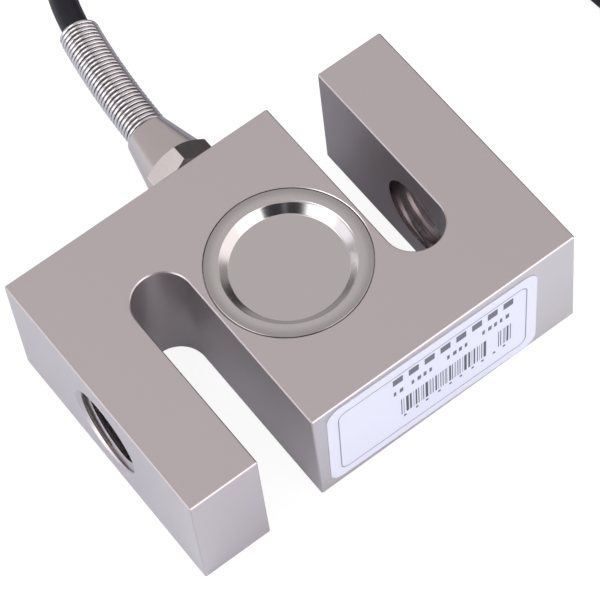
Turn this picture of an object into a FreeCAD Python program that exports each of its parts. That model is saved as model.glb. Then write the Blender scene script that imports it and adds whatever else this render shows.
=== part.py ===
import FreeCAD, Part
import math
import os

from FreeCAD import Vector

# S-type strain gauge load cell lying on its broad face. The origin is at the middle of the
# bottom face. X is the load axis, +Y points to the cable gland, and +Z is up through the block.
# All sizes are in millimetres.

# Block
block_length = 76.2
block_width = 50.8
block_thickness = 25.4
arm_thickness = 13.0
slot_width = 10.5
slot_depth = 37.6
edge_break = 0.2

# Load threads, drawn at their tapping diameter
load_thread_tap_radius = 7.0
load_thread_sink_radius = 8.15

# Gauge pockets and their pressed covers
web_thickness = 4.0
pocket_radius = 12.4
cover_seat_radius = 13.8
cover_radius = 13.7
cover_sheet = 0.6
dish_rim_radius = 11.35
dish_floor_radius = 9.8
dish_depth = 1.75
dish_bend = 0.4

# Cable port in the block
port_tap_radius = 4.5
port_depth = 9.0
port_sink = 0.5
passage_radius = 3.1
passage_end_y = 9.8

# Cable
cable_diameter = 5.0
jacket_start_y = 25.2
bend_share_of_run = 0.45
core_diameter = 0.85
drain_diameter = 0.5
core_pitch = 0.95
core_flat_count = 6

# Gland
washer_thickness = 1.6
collar_radius = 5.8
collar_length = 2.0
thread_clearance = 0.05
gland_bore_clearance = 0.1
shank_length = 8.0
spigot_length = 4.0
grommet_seat_radius = 3.7
grommet_seat_depth = 1.6
grommet_length = 4.2
clamp_ring_thickness = 0.8
nut_across_flats = 12.0
nut_length = 12.4
nut_corner_length = 3.4
nut_tip_radius = 4.0
nut_mouth_radius = 3.9
nut_shoulder_slope = 1.73
nut_envelope_margin = 0.5
spring_seat_turns = 2
nut_back_chamfer_angle = 30.0

# Strain relief spring
wire_diameter = 0.78
wire_flat_count = 4
spring_pitch = 0.82
spring_base_radius = 3.41
spring_tip_radius = 3.26
spring_flare_radius = 3.9
spring_half_turns = 71
flared_half_turns = 2

# Label on the narrow face
label_length = 42.3
label_height = 22.6
label_thickness = 0.15
label_corner = 2.6
label_centre_x = 8.9
label_centre_z = 12.5
label_tilt = 1.6

# Strain gauges
gauge_backing_length = 10.0
gauge_backing_width = 6.0
gauge_backing_thickness = 0.1
gauge_foil = 0.05
gauge_line_count = 6
gauge_line_length = 2.6
gauge_line_width = 0.2
gauge_line_pitch = 0.4
gauge_spacing = 4.8
gauge_tab = 0.7

# Bridge board
board_length = 14.0
board_width = 4.5
board_thickness = 0.8
board_centre_y = 6.15
core_pad_radius = 0.42
core_pad_height = 0.4
core_pad_y = 5.9
core_rise_y = 1.9
core_rise_lean = 1.1
lead_pad_radius = 0.3
lead_pad_inset = 0.9
front_pad_inset = 0.6
lead_pad_height = 0.15
gauge_lead_diameter = 0.2
gauge_lead_count = 4
gauge_lead_flat_count = 4
gauge_lead_gap = 0.25
gauge_lead_pitch = 1.6
gauge_lead_overlap = 0.3
gauge_lead_hoop = 0.4
pad_flat_count = 6
resistor_length = 1.6
resistor_width = 0.8
resistor_height = 0.45
resistor_x = 4.6
resistor_gap_y = 0.7

# Cable coil and what is on its end
coil_x = 123.0
coil_y = 50.0
coil_mid_radius = 29.2
coil_bundle = 20.0
coil_corner = 2.4
tie_thickness = 1.0
tie_width = 3.6
tie_clearance = 0.1
tie_angles = (20.0, 130.0)
tie_head_width = 5.0
tie_head_depth = 3.0
tie_head_height = 4.0
tail_start_angle = 223.0
tail_end_angle = 253.0
tail_straight_length = 9.0
sleeve_length = 11.0
sleeve_wall = 0.35
sleeve_overlap = 5.0
lead_reach = 34.0
lead_run_count = 3
lead_fan = 2.4
lead_stagger = 0.4
lead_bend = 2.0
lead_exit = 2.0
tip_length = 5.0
tip_diameter = 0.6

# Places that follow from the sizes
half_length = block_length / 2
half_width = block_width / 2
middle = block_thickness / 2
slot_x = half_length - arm_thickness - slot_width / 2
pocket_depth = (block_thickness - web_thickness) / 2
web_top = middle + web_thickness / 2
web_bottom = middle - web_thickness / 2
cable_radius = cable_diameter / 2
core_radius = core_diameter / 2
wire_radius = wire_diameter / 2
washer_end_y = half_width + washer_thickness
collar_end_y = washer_end_y + collar_length
spigot_end_y = collar_end_y + spigot_length
nut_end_y = collar_end_y + nut_length
grommet_start_y = spigot_end_y - grommet_seat_depth
grommet_end_y = grommet_start_y + grommet_length
ring_end_y = grommet_end_y + clamp_ring_thickness
board_top = web_top + board_thickness
core_names = ("red", "black", "drain", "green", "white")
middle_core = (len(core_names) - 1) / 2

# The cable's route from inside the gland to the coil
cable_route = [
    Vector(0.0, jacket_start_y, middle),
    Vector(0.0, 45.0, middle),
    Vector(2.85, 67.6, 12.4),
    Vector(7.0, 79.3, 11.0),
    Vector(15.0, 91.0, 7.6),
    Vector(28.0, 99.0, 4.3),
    Vector(43.5, 99.5, cable_radius),
    Vector(57.5, 92.5, cable_radius),
    Vector(68.0, 80.0, cable_radius),
    Vector(75.5, 62.5, cable_radius),
    Vector(80.3, 43.0, cable_radius),
    Vector(81.7, 24.5, cable_radius),
    Vector(83.0, 8.0, cable_radius),
    Vector(91.3, -4.8, cable_radius),
    Vector(105.0, -12.2, cable_radius),
    Vector(120.3, -12.9, cable_radius),
    Vector(134.3, -7.2, cable_radius),
    Vector(144.8, 2.9, cable_radius),
    Vector(152.4, 14.5, cable_radius),
    Vector(158.3, 26.6, cable_radius),
    Vector(161.1, 38.2, cable_radius),
]


def save(name, solids):
    shape = solids if isinstance(solids, Part.Shape) else Part.makeCompound(solids)
    shape.exportStep("parts/" + name + ".step")
    print(name, "volume %.2f" % shape.Volume, "solids", len(shape.Solids))


def box(x, y, z, centre):
    """A box of these sides about a centre."""
    corner = Vector(centre.x - x / 2, centre.y - y / 2, centre.z - z / 2)
    return Part.makeBox(x, y, z, corner)


def turned(profile, about, along):
    """A solid turned from a closed (radius, distance) outline about an axis."""
    across = Vector(0, 0, 1) if abs(along.z) < 0.5 else Vector(1, 0, 0)
    points = [about + across * radius + along * distance for radius, distance in profile]
    outline = Part.Face(Part.makePolygon(points + [points[0]]))
    return outline.revolve(about, along, 360)


def turned_on_gland(profile):
    """A solid turned about the gland's axis from (radius, y) points."""
    return turned(profile, Vector(0, 0, middle), Vector(0, 1, 0))


def bent_path(points, bend_of):
    """Straight runs joined by tangent arcs, whose radius comes from the two runs and the half turn."""
    edges = []
    radii = []
    here = points[0]
    for before, corner, after in zip(points, points[1:], points[2:]):
        back = before - corner
        ahead = after - corner
        shorter = min(back.Length, ahead.Length)
        back.normalize()
        ahead.normalize()
        half_turn = (math.pi - back.getAngle(ahead)) / 2
        bend = bend_of(shorter, half_turn)
        reach = bend * math.tan(half_turn)
        inward = back + ahead
        inward.normalize()
        start = corner + back * reach
        end = corner + ahead * reach
        top = corner + inward * (bend / math.cos(half_turn) - bend)
        edges.append(Part.LineSegment(here, start).toShape())
        edges.append(Part.Arc(start, top, end).toShape())
        radii.append(bend)
        here = end
    edges.append(Part.LineSegment(here, points[-1]).toShape())
    return Part.Wire(edges), radii


def round_rod(path, radius):
    """A round solid along a path."""
    first = path.Edges[0]
    start = first.valueAt(first.FirstParameter)
    heading = first.tangentAt(first.FirstParameter)
    section = Part.Face(Part.Wire([Part.makeCircle(radius, start, heading)]))
    return path.makePipe(section)


def flat_outline(centre, heading, sideways, radius, flats):
    """A regular polygon inside a circle, across a heading, with one flat towards each side."""
    upward = heading.cross(sideways)
    corners = []
    for k in range(flats):
        angle = 2 * math.pi * (k + 0.5) / flats
        corners.append(centre + sideways * (radius * math.cos(angle)) + upward * (radius * math.sin(angle)))
    return Part.Face(Part.makePolygon(corners + [corners[0]]))


def fine_wire(path, radius, flats):
    """A thin wire along a path that starts level, its round section drawn with a few flats."""
    first = path.Edges[0]
    start = first.valueAt(first.FirstParameter)
    heading = first.tangentAt(first.FirstParameter)
    heading.normalize()
    sideways = heading.cross(Vector(0, 0, 1))
    sideways.normalize()
    return path.makePipe(flat_outline(start, heading, sideways, radius, flats))


# Block, machined from one bar


def slot_cutter(side):
    """The slot that opens on the -Y face (side -1) or the +Y face (side 1), with a round end."""
    x = side * slot_x
    end_y = side * (half_width - slot_depth + slot_width / 2)
    mouth_y = side * (half_width + 1)
    straight_centre = Vector(x, (mouth_y + end_y) / 2, middle)
    straight = box(slot_width, abs(mouth_y - end_y), block_thickness, straight_centre)
    round_end = Part.makeCylinder(slot_width / 2, block_thickness, Vector(x, end_y, 0))
    return straight.fuse(round_end)


def broken_edges(blank):
    """The outline's edges on both broad faces, and the upright corners on the narrow faces."""
    chosen = []
    for edge in blank.Edges:
        heights = [vertex.Z for vertex in edge.Vertexes]
        level = max(heights) - min(heights) < 0.001
        outside = all(abs(abs(vertex.Y) - half_width) < 0.001 for vertex in edge.Vertexes)
        if level or outside:
            chosen.append(edge)
    return chosen


def load_hole(side):
    """A tapped hole through one arm, with its countersink at the outer face."""
    face = Vector(side * half_length, 0, middle)
    inward = Vector(-side, 0, 0)
    sink = load_thread_sink_radius - load_thread_tap_radius
    outline = [
        (0, -1),
        (load_thread_sink_radius + 1, -1),
        (load_thread_tap_radius, sink),
        (load_thread_tap_radius, arm_thickness + 1),
        (0, arm_thickness + 1),
    ]
    return turned(outline, face, inward)


def pocket(face_z, inward):
    """The cover's seat and the gauge pocket under it."""
    about = Vector(0, 0, face_z)
    outline = [
        (0, -1),
        (cover_seat_radius, -1),
        (cover_seat_radius, cover_sheet),
        (pocket_radius, cover_sheet),
        (pocket_radius, pocket_depth),
        (0, pocket_depth),
    ]
    return turned(outline, about, Vector(0, 0, inward))


def cable_port():
    """The tapped port, and the passage that breaks into both pockets."""
    bottom_y = half_width - port_depth
    outline = [
        (0, passage_end_y),
        (passage_radius, passage_end_y),
        (passage_radius, bottom_y),
        (port_tap_radius, bottom_y),
        (port_tap_radius, half_width - port_sink),
        (port_tap_radius + port_sink + 1, half_width + 1),
        (0, half_width + 1),
    ]
    return turned_on_gland(outline)


def spring_body():
    blank = box(block_length, block_width, block_thickness, Vector(0, 0, middle))
    blank = blank.cut(slot_cutter(-1)).cut(slot_cutter(1)).removeSplitter()
    body = blank.makeChamfer(edge_break, broken_edges(blank))
    for side in (-1, 1):
        body = body.cut(load_hole(side))
    body = body.cut(pocket(block_thickness, -1)).cut(pocket(0, 1))
    return body.cut(cable_port())


# Pressed covers


def cover(face_z, inward):
    """A dished disc of sheet steel, its flange flush with the block's face."""
    lean = math.atan2(dish_depth, dish_rim_radius - dish_floor_radius)
    run = (dish_rim_radius - dish_floor_radius) / dish_depth
    under = cover_sheet / math.sin(lean)
    floor_under = dish_depth + cover_sheet
    outline = [
        (0, dish_depth),
        (dish_floor_radius, dish_depth),
        (dish_rim_radius, 0),
        (cover_radius, 0),
        (cover_radius, cover_sheet),
        (dish_rim_radius + under - run * cover_sheet, cover_sheet),
        (dish_rim_radius + under - run * floor_under, floor_under),
        (0, floor_under),
    ]
    disc = turned(outline, Vector(0, 0, face_z), Vector(0, 0, inward))
    inside_bends = []
    outside_bends = []
    for edge in disc.Edges:
        if not hasattr(edge.Curve, "Radius"):
            continue
        radius = edge.Curve.Radius
        depth = abs(edge.Curve.Center.z - face_z)
        if abs(radius - dish_floor_radius) < 0.01 and abs(depth - dish_depth) < 0.01:
            inside_bends.append(edge)
        elif abs(radius - dish_rim_radius) < 0.01 and depth < 0.01:
            outside_bends.append(edge)
    disc = disc.makeFillet(dish_bend, inside_bends)
    matching = [
        edge
        for edge in disc.Edges
        if hasattr(edge.Curve, "Radius")
        and abs(edge.Curve.Radius - dish_rim_radius) < 0.01
        and abs(edge.Curve.Center.z - face_z) < 0.01
    ]
    return disc.makeFillet(dish_bend + cover_sheet, matching)


# Gland and strain relief


def gland_washer():
    return turned_on_gland(
        [
            (port_tap_radius, half_width),
            (collar_radius, half_width),
            (collar_radius, washer_end_y),
            (port_tap_radius, washer_end_y),
        ]
    )


def gland_body():
    """A turned bush: a shank in the port, a collar, and a spigot that carries the nut."""
    bore = cable_radius + gland_bore_clearance
    shank = port_tap_radius - thread_clearance
    return turned_on_gland(
        [
            (bore, half_width - shank_length),
            (shank, half_width - shank_length),
            (shank, washer_end_y),
            (collar_radius, washer_end_y),
            (collar_radius, collar_end_y),
            (shank, collar_end_y),
            (shank, spigot_end_y),
            (grommet_seat_radius, spigot_end_y),
            (bore, grommet_start_y),
        ]
    )


def gland_grommet():
    """The rubber bush that grips the cable, coned where it sits in the spigot."""
    return turned_on_gland(
        [
            (cable_radius, grommet_start_y),
            (cable_radius + gland_bore_clearance, grommet_start_y),
            (grommet_seat_radius, spigot_end_y),
            (grommet_seat_radius, grommet_end_y),
            (cable_radius, grommet_end_y),
        ]
    )


def clamp_ring():
    return turned_on_gland(
        [
            (cable_radius + gland_bore_clearance, grommet_end_y),
            (port_tap_radius - thread_clearance, grommet_end_y),
            (port_tap_radius - thread_clearance, ring_end_y),
            (cable_radius + gland_bore_clearance, ring_end_y),
        ]
    )


def gland_nut():
    """A hexagon nut whose front is turned to a short shoulder and a long cone that carries the spring."""
    corner = nut_across_flats / math.sqrt(3)
    flat_radius = nut_across_flats / 2
    points = []
    for k in range(6):
        angle = math.radians(60 * k + 90)
        points.append(Vector(corner * math.cos(angle), collar_end_y, middle + corner * math.sin(angle)))
    hexagon = Part.Face(Part.makePolygon(points + [points[0]])).extrude(Vector(0, nut_length, 0))
    wide = corner + nut_envelope_margin
    chamfer = math.tan(math.radians(nut_back_chamfer_angle))
    corner_end_y = collar_end_y + nut_corner_length
    shoulder_back_y = corner_end_y - (wide - corner) / nut_shoulder_slope
    shoulder_end_y = corner_end_y + (corner - flat_radius) / nut_shoulder_slope
    envelope = turned_on_gland(
        [
            (0, collar_end_y),
            (flat_radius, collar_end_y),
            (wide, collar_end_y + (wide - flat_radius) * chamfer),
            (wide, shoulder_back_y),
            (flat_radius, shoulder_end_y),
            (nut_tip_radius, nut_end_y),
            (0, nut_end_y),
        ]
    )
    chamber_end_y = ring_end_y + spring_seat_turns * wire_diameter
    hollow = turned_on_gland(
        [
            (0, collar_end_y - 1),
            (port_tap_radius, collar_end_y - 1),
            (port_tap_radius, chamber_end_y),
            (nut_mouth_radius, chamber_end_y + port_tap_radius - nut_mouth_radius),
            (nut_mouth_radius, nut_end_y + 1),
            (0, nut_end_y + 1),
        ]
    )
    return hexagon.common(envelope).cut(hollow)


def spring_centre(path, distance):
    """The point and the sideways direction at this distance along the cable's path."""
    left = distance
    for edge in path.Edges:
        if left <= edge.Length:
            at = edge.getParameterByLength(left)
            heading = edge.tangentAt(at)
            sideways = Vector(heading.y, -heading.x, 0)
            sideways.normalize()
            return edge.valueAt(at), sideways
        left -= edge.Length
    raise ValueError("the spring is longer than the cable")


def spring_ends():
    """Points on both sides of the cable, half a pitch apart, that the half turns run between."""
    path, radii = bent_path(cable_route, cord_bend)
    first = ring_end_y + wire_radius - jacket_start_y
    ends = []
    for k in range(spring_half_turns + 1):
        centre, sideways = spring_centre(path, first + k * spring_pitch / 2)
        share = k / spring_half_turns
        radius = spring_base_radius + (spring_tip_radius - spring_base_radius) * share
        if k < flared_half_turns:
            radius = spring_flare_radius
        ends.append(centre + sideways * (radius if k % 2 == 0 else -radius))
    return ends


def strain_spring():
    """A close-wound spring about the cable, each half turn an arc that starts and ends upright."""
    ends = spring_ends()
    arcs = []
    for k in range(spring_half_turns):
        start, end = ends[k], ends[k + 1]
        up = 1 if k % 2 == 0 else -1
        top = (start + end) * 0.5 + Vector(0, 0, up * (end - start).Length / 2)
        arcs.append(Part.Arc(start, top, end).toShape())
    section = flat_outline(ends[0], Vector(0, 0, 1), Vector(0, 1, 0), wire_radius, wire_flat_count)
    return Part.Wire(arcs).makePipe(section)


# Cable


def cord_bend(shorter, half_turn):
    return bend_share_of_run * shorter / math.tan(half_turn)


def cable_jacket(coil):
    path, radii = bent_path(cable_route, cord_bend)
    tube = round_rod(path, cable_radius)
    expected = math.pi * cable_radius**2 * path.Length
    print("cable route length %.1f" % path.Length, "volume %.1f of %.1f" % (tube.Volume, expected))
    print("cable bend radii", [round(radius, 1) for radius in radii])
    return tube.cut(coil)


def on_coil(radius, angle, z):
    """A point at a radius and angle about the coil's axis."""
    turn = math.radians(angle)
    return Vector(coil_x + radius * math.cos(turn), coil_y + radius * math.sin(turn), z)


def cable_coil():
    """The wound part of the cable as one ring."""
    inner = coil_mid_radius - coil_bundle / 2
    outer = inner + coil_bundle
    top = tie_thickness + coil_bundle
    profile = [(inner, tie_thickness), (outer, tie_thickness), (outer, top), (inner, top)]
    ring = turned(profile, Vector(coil_x, coil_y, 0), Vector(0, 0, 1))
    return ring.makeChamfer(coil_corner, [e for e in ring.Edges if hasattr(e.Curve, "Radius")])


def cable_tie(angle):
    """A strap round the bundle, with its head on the outside."""
    hole = coil_bundle + 2 * tie_clearance
    outer = hole + 2 * tie_thickness
    centre_z = tie_thickness + coil_bundle / 2 + tie_clearance
    about = Vector(0, 0, centre_z)
    strap = box(outer, tie_width, outer, about)
    along = [e for e in strap.Edges if abs(e.tangentAt(e.FirstParameter).y) > 0.9]
    strap = strap.makeFillet(coil_corner + tie_thickness, along)
    inside = box(hole, tie_width, hole, about)
    along = [e for e in inside.Edges if abs(e.tangentAt(e.FirstParameter).y) > 0.9]
    inside = inside.makeFillet(coil_corner, along)
    head_x = outer / 2 + tie_head_depth / 2 - tie_thickness / 2
    head = box(tie_head_depth, tie_head_width, tie_head_height, Vector(head_x, 0, centre_z))
    tie = strap.fuse(head).cut(inside).removeSplitter()
    tie.translate(Vector(coil_x + coil_mid_radius, coil_y, 0))
    tie.rotate(Vector(coil_x, coil_y, 0), Vector(0, 0, 1), angle)
    return tie


def tail_path():
    """The cable's last stretch, lying on top of the coil: an arc and then a straight end."""
    z = tie_thickness + coil_bundle + cable_radius + sleeve_wall
    start = on_coil(coil_mid_radius, tail_start_angle, z)
    between = on_coil(coil_mid_radius, (tail_start_angle + tail_end_angle) / 2, z)
    end = on_coil(coil_mid_radius, tail_end_angle, z)
    turn = math.radians(tail_end_angle)
    heading = Vector(-math.sin(turn), math.cos(turn), 0)
    straight = Part.LineSegment(end, end + heading * tail_straight_length).toShape()
    return Part.Wire([Part.Arc(start, between, end).toShape(), straight]), end, heading


def cable_tail():
    path, end, heading = tail_path()
    return round_rod(path, cable_radius)


def lead_sleeve():
    """The shrunk sleeve over the end of the jacket, smaller where only the cores run through it."""
    path, end, heading = tail_path()
    start = end + heading * (tail_straight_length - sleeve_overlap)
    outer = cable_radius + sleeve_wall
    neck = core_pitch * 2 + core_radius + sleeve_wall
    bore = neck - sleeve_wall
    profile = [
        (cable_radius, 0),
        (outer, 0),
        (outer, sleeve_overlap),
        (neck, sleeve_overlap + 1),
        (neck, sleeve_length),
        (bore, sleeve_length),
        (bore, sleeve_overlap),
        (cable_radius, sleeve_overlap),
    ]
    return turned(profile, start, heading)


def lead_route(k):
    """The route of one bared core from the jacket's end, fanned out along the top of the coil."""
    path, end, heading = tail_path()
    sideways = Vector(heading.y, -heading.x, 0)
    place = k - middle_core
    spread = place * core_pitch
    start = end + heading * tail_straight_length + sideways * spread
    low = tie_thickness + coil_bundle + core_radius
    straight = sleeve_length - sleeve_overlap + lead_exit + spread * lead_stagger
    out_of_sleeve = start + heading * straight
    radius = coil_mid_radius + place * lead_fan
    step = lead_reach / lead_run_count
    angle = tail_end_angle + math.degrees((tail_straight_length + sleeve_length) / coil_mid_radius)
    route = [start, out_of_sleeve]
    for j in (1, 2):
        route.append(on_coil(radius, angle + math.degrees(j * step / coil_mid_radius), low))
    return route


def lead(k):
    diameter = drain_diameter if core_names[k] == "drain" else core_diameter
    path, radii = bent_path(lead_route(k), lambda shorter, half_turn: lead_bend)
    return fine_wire(path, diameter / 2, core_flat_count)


def tinned_tip(k):
    """The bare end of one core."""
    route = lead_route(k)
    heading = route[-1] - route[-2]
    heading.normalize()
    straight = Part.Wire([Part.LineSegment(route[-1], route[-1] + heading * tip_length).toShape()])
    return fine_wire(straight, tip_diameter / 2, core_flat_count)


# Label


def label_plate():
    face = Part.makeBox(
        label_length,
        label_thickness,
        label_height,
        Vector(-label_length / 2, -label_thickness, -label_height / 2),
    )
    across = [e for e in face.Edges if abs(e.tangentAt(e.FirstParameter).y) > 0.9]
    face = face.makeFillet(label_corner, across)
    face.rotate(Vector(0, 0, 0), Vector(0, 1, 0), label_tilt)
    face.translate(Vector(label_centre_x, -half_width, label_centre_z))
    return face


# Strain gauges on both faces of the web


def gauge_backing(z, up):
    base = z if up > 0 else z - gauge_backing_thickness
    corner = Vector(-gauge_backing_length / 2, -gauge_backing_width / 2, base)
    return Part.makeBox(gauge_backing_length, gauge_backing_width, gauge_backing_thickness, corner)


def gauge_grid(side, z, up):
    """One foil grid: parallel lines joined at alternate ends, turned 45 degrees to the load axis."""
    base = z + gauge_backing_thickness if up > 0 else z - gauge_backing_thickness - gauge_foil
    span = (gauge_line_count - 1) * gauge_line_pitch
    grid = None
    for k in range(gauge_line_count):
        y = k * gauge_line_pitch - span / 2
        corner = Vector(-gauge_line_length / 2, y - gauge_line_width / 2, base)
        line = Part.makeBox(gauge_line_length, gauge_line_width, gauge_foil, corner)
        grid = line if grid is None else grid.fuse(line)
        if k < gauge_line_count - 1:
            end = 1 if k % 2 == 0 else -1
            x = end * (gauge_line_length - gauge_line_width) / 2 - gauge_line_width / 2
            bridge_corner = Vector(x, y, base)
            grid = grid.fuse(Part.makeBox(gauge_line_width, gauge_line_pitch, gauge_foil, bridge_corner))
    for end in (-1, 1):
        y = end * (span / 2 + gauge_tab / 2 - gauge_line_width / 2)
        x = -gauge_line_length / 2 - gauge_tab / 2 + gauge_line_width
        tab = box(gauge_tab, gauge_tab, gauge_foil, Vector(x, y, base + gauge_foil / 2))
        grid = grid.fuse(tab)
    grid = grid.removeSplitter()
    grid.rotate(Vector(0, 0, 0), Vector(0, 0, 1), 45 if side < 0 else 135)
    grid.translate(Vector(side * gauge_spacing / 2, 0, 0))
    return grid


# Bridge board and wiring


def bridge_board():
    centre = Vector(0, board_centre_y, web_top + board_thickness / 2)
    return box(board_length, board_width, board_thickness, centre)


def pad(x, y, radius, height):
    centre = Vector(x, y, board_top)
    outline = flat_outline(centre, Vector(0, 0, 1), Vector(1, 0, 0), radius, pad_flat_count)
    return outline.extrude(Vector(0, 0, height))


def core_x(k):
    return (k - middle_core) * core_pitch


def crossing_x(k):
    """Places between the cores, for the leads of the lower gauges."""
    return (k - (gauge_lead_count - 1) / 2) * core_pitch


def lead_pad_y():
    return board_centre_y + board_width / 2 - lead_pad_inset


def front_pad_y():
    return board_centre_y - board_width / 2 + front_pad_inset


def front_lead_x(k):
    return (k - (gauge_lead_count - 1) / 2) * gauge_lead_pitch


def solder_joints():
    joints = []
    for k in range(len(core_names)):
        joints.append(pad(core_x(k), core_pad_y, core_pad_radius, core_pad_height))
    for k in range(gauge_lead_count):
        joints.append(pad(crossing_x(k), lead_pad_y(), lead_pad_radius, lead_pad_height))
        joints.append(pad(front_lead_x(k), front_pad_y(), lead_pad_radius, lead_pad_height))
    return joints


def trim_resistors():
    chips = []
    for side in (-1, 1):
        for row in (-1, 1):
            y = board_centre_y + row * resistor_gap_y
            centre = Vector(side * resistor_x, y, board_top + resistor_height / 2)
            chips.append(box(resistor_length, resistor_width, resistor_height, centre))
    return chips


def inner_core(k):
    """One core from the jacket's end, up through the passage and over the board to its joint."""
    radius = drain_diameter / 2 if core_names[k] == "drain" else core_radius
    x = core_x(k)
    over = board_top + core_pad_height + radius
    points = [
        Vector(x, jacket_start_y, middle),
        Vector(x, passage_end_y + core_rise_y, middle),
        Vector(x, passage_end_y + core_rise_y - core_rise_lean, over),
        Vector(x, core_pad_y - core_pad_radius, over),
    ]
    path, radii = bent_path(points, lambda shorter, half_turn: core_diameter)
    return fine_wire(path, radius, core_flat_count)


def bottom_gauge_lead(k):
    """A lead from the lower gauges, through the break in the web and back over the board."""
    radius = gauge_lead_diameter / 2
    x = crossing_x(k)
    up_y = passage_end_y + gauge_lead_gap + radius
    points = [
        Vector(x, gauge_backing_width / 2, web_bottom - radius),
        Vector(x, up_y, web_bottom - radius),
        Vector(x, up_y, board_top + radius),
        Vector(x, lead_pad_y() + lead_pad_radius, board_top + radius),
    ]
    path, radii = bent_path(points, lambda shorter, half_turn: gauge_lead_diameter)
    return fine_wire(path, radius, gauge_lead_flat_count)


def top_gauge_lead(k):
    """A short hoop from the upper gauges' edge to the board."""
    radius = gauge_lead_diameter / 2
    x = front_lead_x(k)
    start_y = gauge_backing_width / 2 - gauge_lead_overlap
    start = Vector(x, start_y, web_top + gauge_backing_thickness + radius)
    end = Vector(x, front_pad_y(), board_top + lead_pad_height + radius)
    top = Vector(x, (start.y + end.y) / 2, end.z + gauge_lead_hoop)
    hoop = Part.Arc(start, top, end).toShape()
    heading = hoop.tangentAt(hoop.FirstParameter)
    section = flat_outline(start, heading, Vector(1, 0, 0), radius, gauge_lead_flat_count)
    return Part.Wire([hoop]).makePipe(section)


os.makedirs("parts", exist_ok=True)

coil = cable_coil()

save("spring_body", spring_body())
save("top_cover", cover(block_thickness, -1))
save("bottom_cover", cover(0, 1))
save("label_plate", label_plate())
save("gland_washer", gland_washer())
save("gland_body", gland_body())
save("gland_grommet", gland_grommet())
save("clamp_ring", clamp_ring())
save("gland_nut", gland_nut())
save("strain_spring", strain_spring())
for name, z, up in (("top", web_top, 1), ("bottom", web_bottom, -1)):
    save(name + "_gauge_backing", gauge_backing(z, up))
    save(name + "_gauge_grids", [gauge_grid(side, z, up) for side in (-1, 1)])
save("bridge_board", bridge_board())
save("trim_resistors", trim_resistors())
save("solder_joints", solder_joints())
save("top_gauge_leads", [top_gauge_lead(k) for k in range(gauge_lead_count)])
save("bottom_gauge_leads", [bottom_gauge_lead(k) for k in range(gauge_lead_count)])
for k, name in enumerate(core_names):
    save("inner_core_" + name, inner_core(k))
save("cable_jacket", cable_jacket(coil))
save("cable_coil", coil)
save("cable_tail", cable_tail())
save("cable_ties", [cable_tie(angle) for angle in tie_angles])
save("lead_sleeve", lead_sleeve())
for k, name in enumerate(core_names):
    save("lead_" + name, lead(k))
save("tinned_tips", [tinned_tip(k) for k, name in enumerate(core_names) if name != "drain"])
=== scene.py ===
# %% [markdown]
# # A strain gauge load cell, dressed for its picture
# The measuring part is a steel block cut into the shape of an S. A cable leaves it through a gland
# with a long spring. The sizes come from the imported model, which loads here as a frame in metres.
# Every piece below is laid over that frame, so nothing has to be fitted by eye.

# %% Load the frame
import math

import bmesh
import bpy
from mathutils import Matrix, Vector


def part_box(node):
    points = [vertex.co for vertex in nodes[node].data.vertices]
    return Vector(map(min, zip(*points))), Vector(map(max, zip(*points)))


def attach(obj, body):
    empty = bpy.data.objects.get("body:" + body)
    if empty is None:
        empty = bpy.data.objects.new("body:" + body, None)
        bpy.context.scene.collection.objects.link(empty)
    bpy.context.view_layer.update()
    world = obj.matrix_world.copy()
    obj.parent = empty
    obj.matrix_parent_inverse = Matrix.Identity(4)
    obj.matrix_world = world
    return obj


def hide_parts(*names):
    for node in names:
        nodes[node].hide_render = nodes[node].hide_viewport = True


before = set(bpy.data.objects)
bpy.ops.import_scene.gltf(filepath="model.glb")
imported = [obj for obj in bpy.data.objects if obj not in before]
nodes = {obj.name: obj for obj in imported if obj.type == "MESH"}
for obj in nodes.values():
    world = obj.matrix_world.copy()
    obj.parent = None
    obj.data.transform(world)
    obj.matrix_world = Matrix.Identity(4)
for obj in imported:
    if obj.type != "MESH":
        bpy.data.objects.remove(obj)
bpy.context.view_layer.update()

print("nodes in the frame:", len(nodes))

# %% Sizes that the whole picture shares
MM = 0.001
block_low, block_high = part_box("spring_body")
middle_z = (block_low.z + block_high.z) / 2
print("block from", tuple(round(v, 4) for v in block_low), "to", tuple(round(v, 4) for v in block_high))

# %% [markdown]
# ## The camera
# The photograph was taken from above, with a long lens, so the block's edges stay almost parallel.
# A camera's turn can be given by three angles, but here its right, up and backward directions are
# known, and they are the columns of its turning matrix, so they are used as they are.

# %% Camera
camera_data = bpy.data.cameras.new("camera")
camera_data.sensor_width = 36.0
camera_data.lens = 181.9
camera_data.clip_start = 0.01
camera = bpy.data.objects.new("camera", camera_data)
bpy.context.scene.collection.objects.link(camera)
camera_right = Vector((0.79552, -0.60179, -0.07069))
camera_up = Vector((0.55544, 0.67763, 0.48197))
camera_back = Vector((-0.24214, -0.42269, 0.87333))
camera_place = (-0.11912, -0.209826, 0.444985)
turn = Matrix((camera_right, camera_up, camera_back)).transposed().to_4x4()
camera.matrix_world = Matrix.Translation(camera_place) @ turn
bpy.context.scene.camera = camera
print("camera at", tuple(round(v, 3) for v in camera.matrix_world.translation))

# %% [markdown]
# ## The cable
# A load cell of this kind has about three metres of shielded cable. It leaves the gland straight, comes
# down to the table under its own weight, and what the picture has no room for is wound into a coil and
# tied. It could be a mesh tube, but a curve with a round bevel keeps its true length and is easy to
# follow, so the whole cable is one smooth curve.

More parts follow.
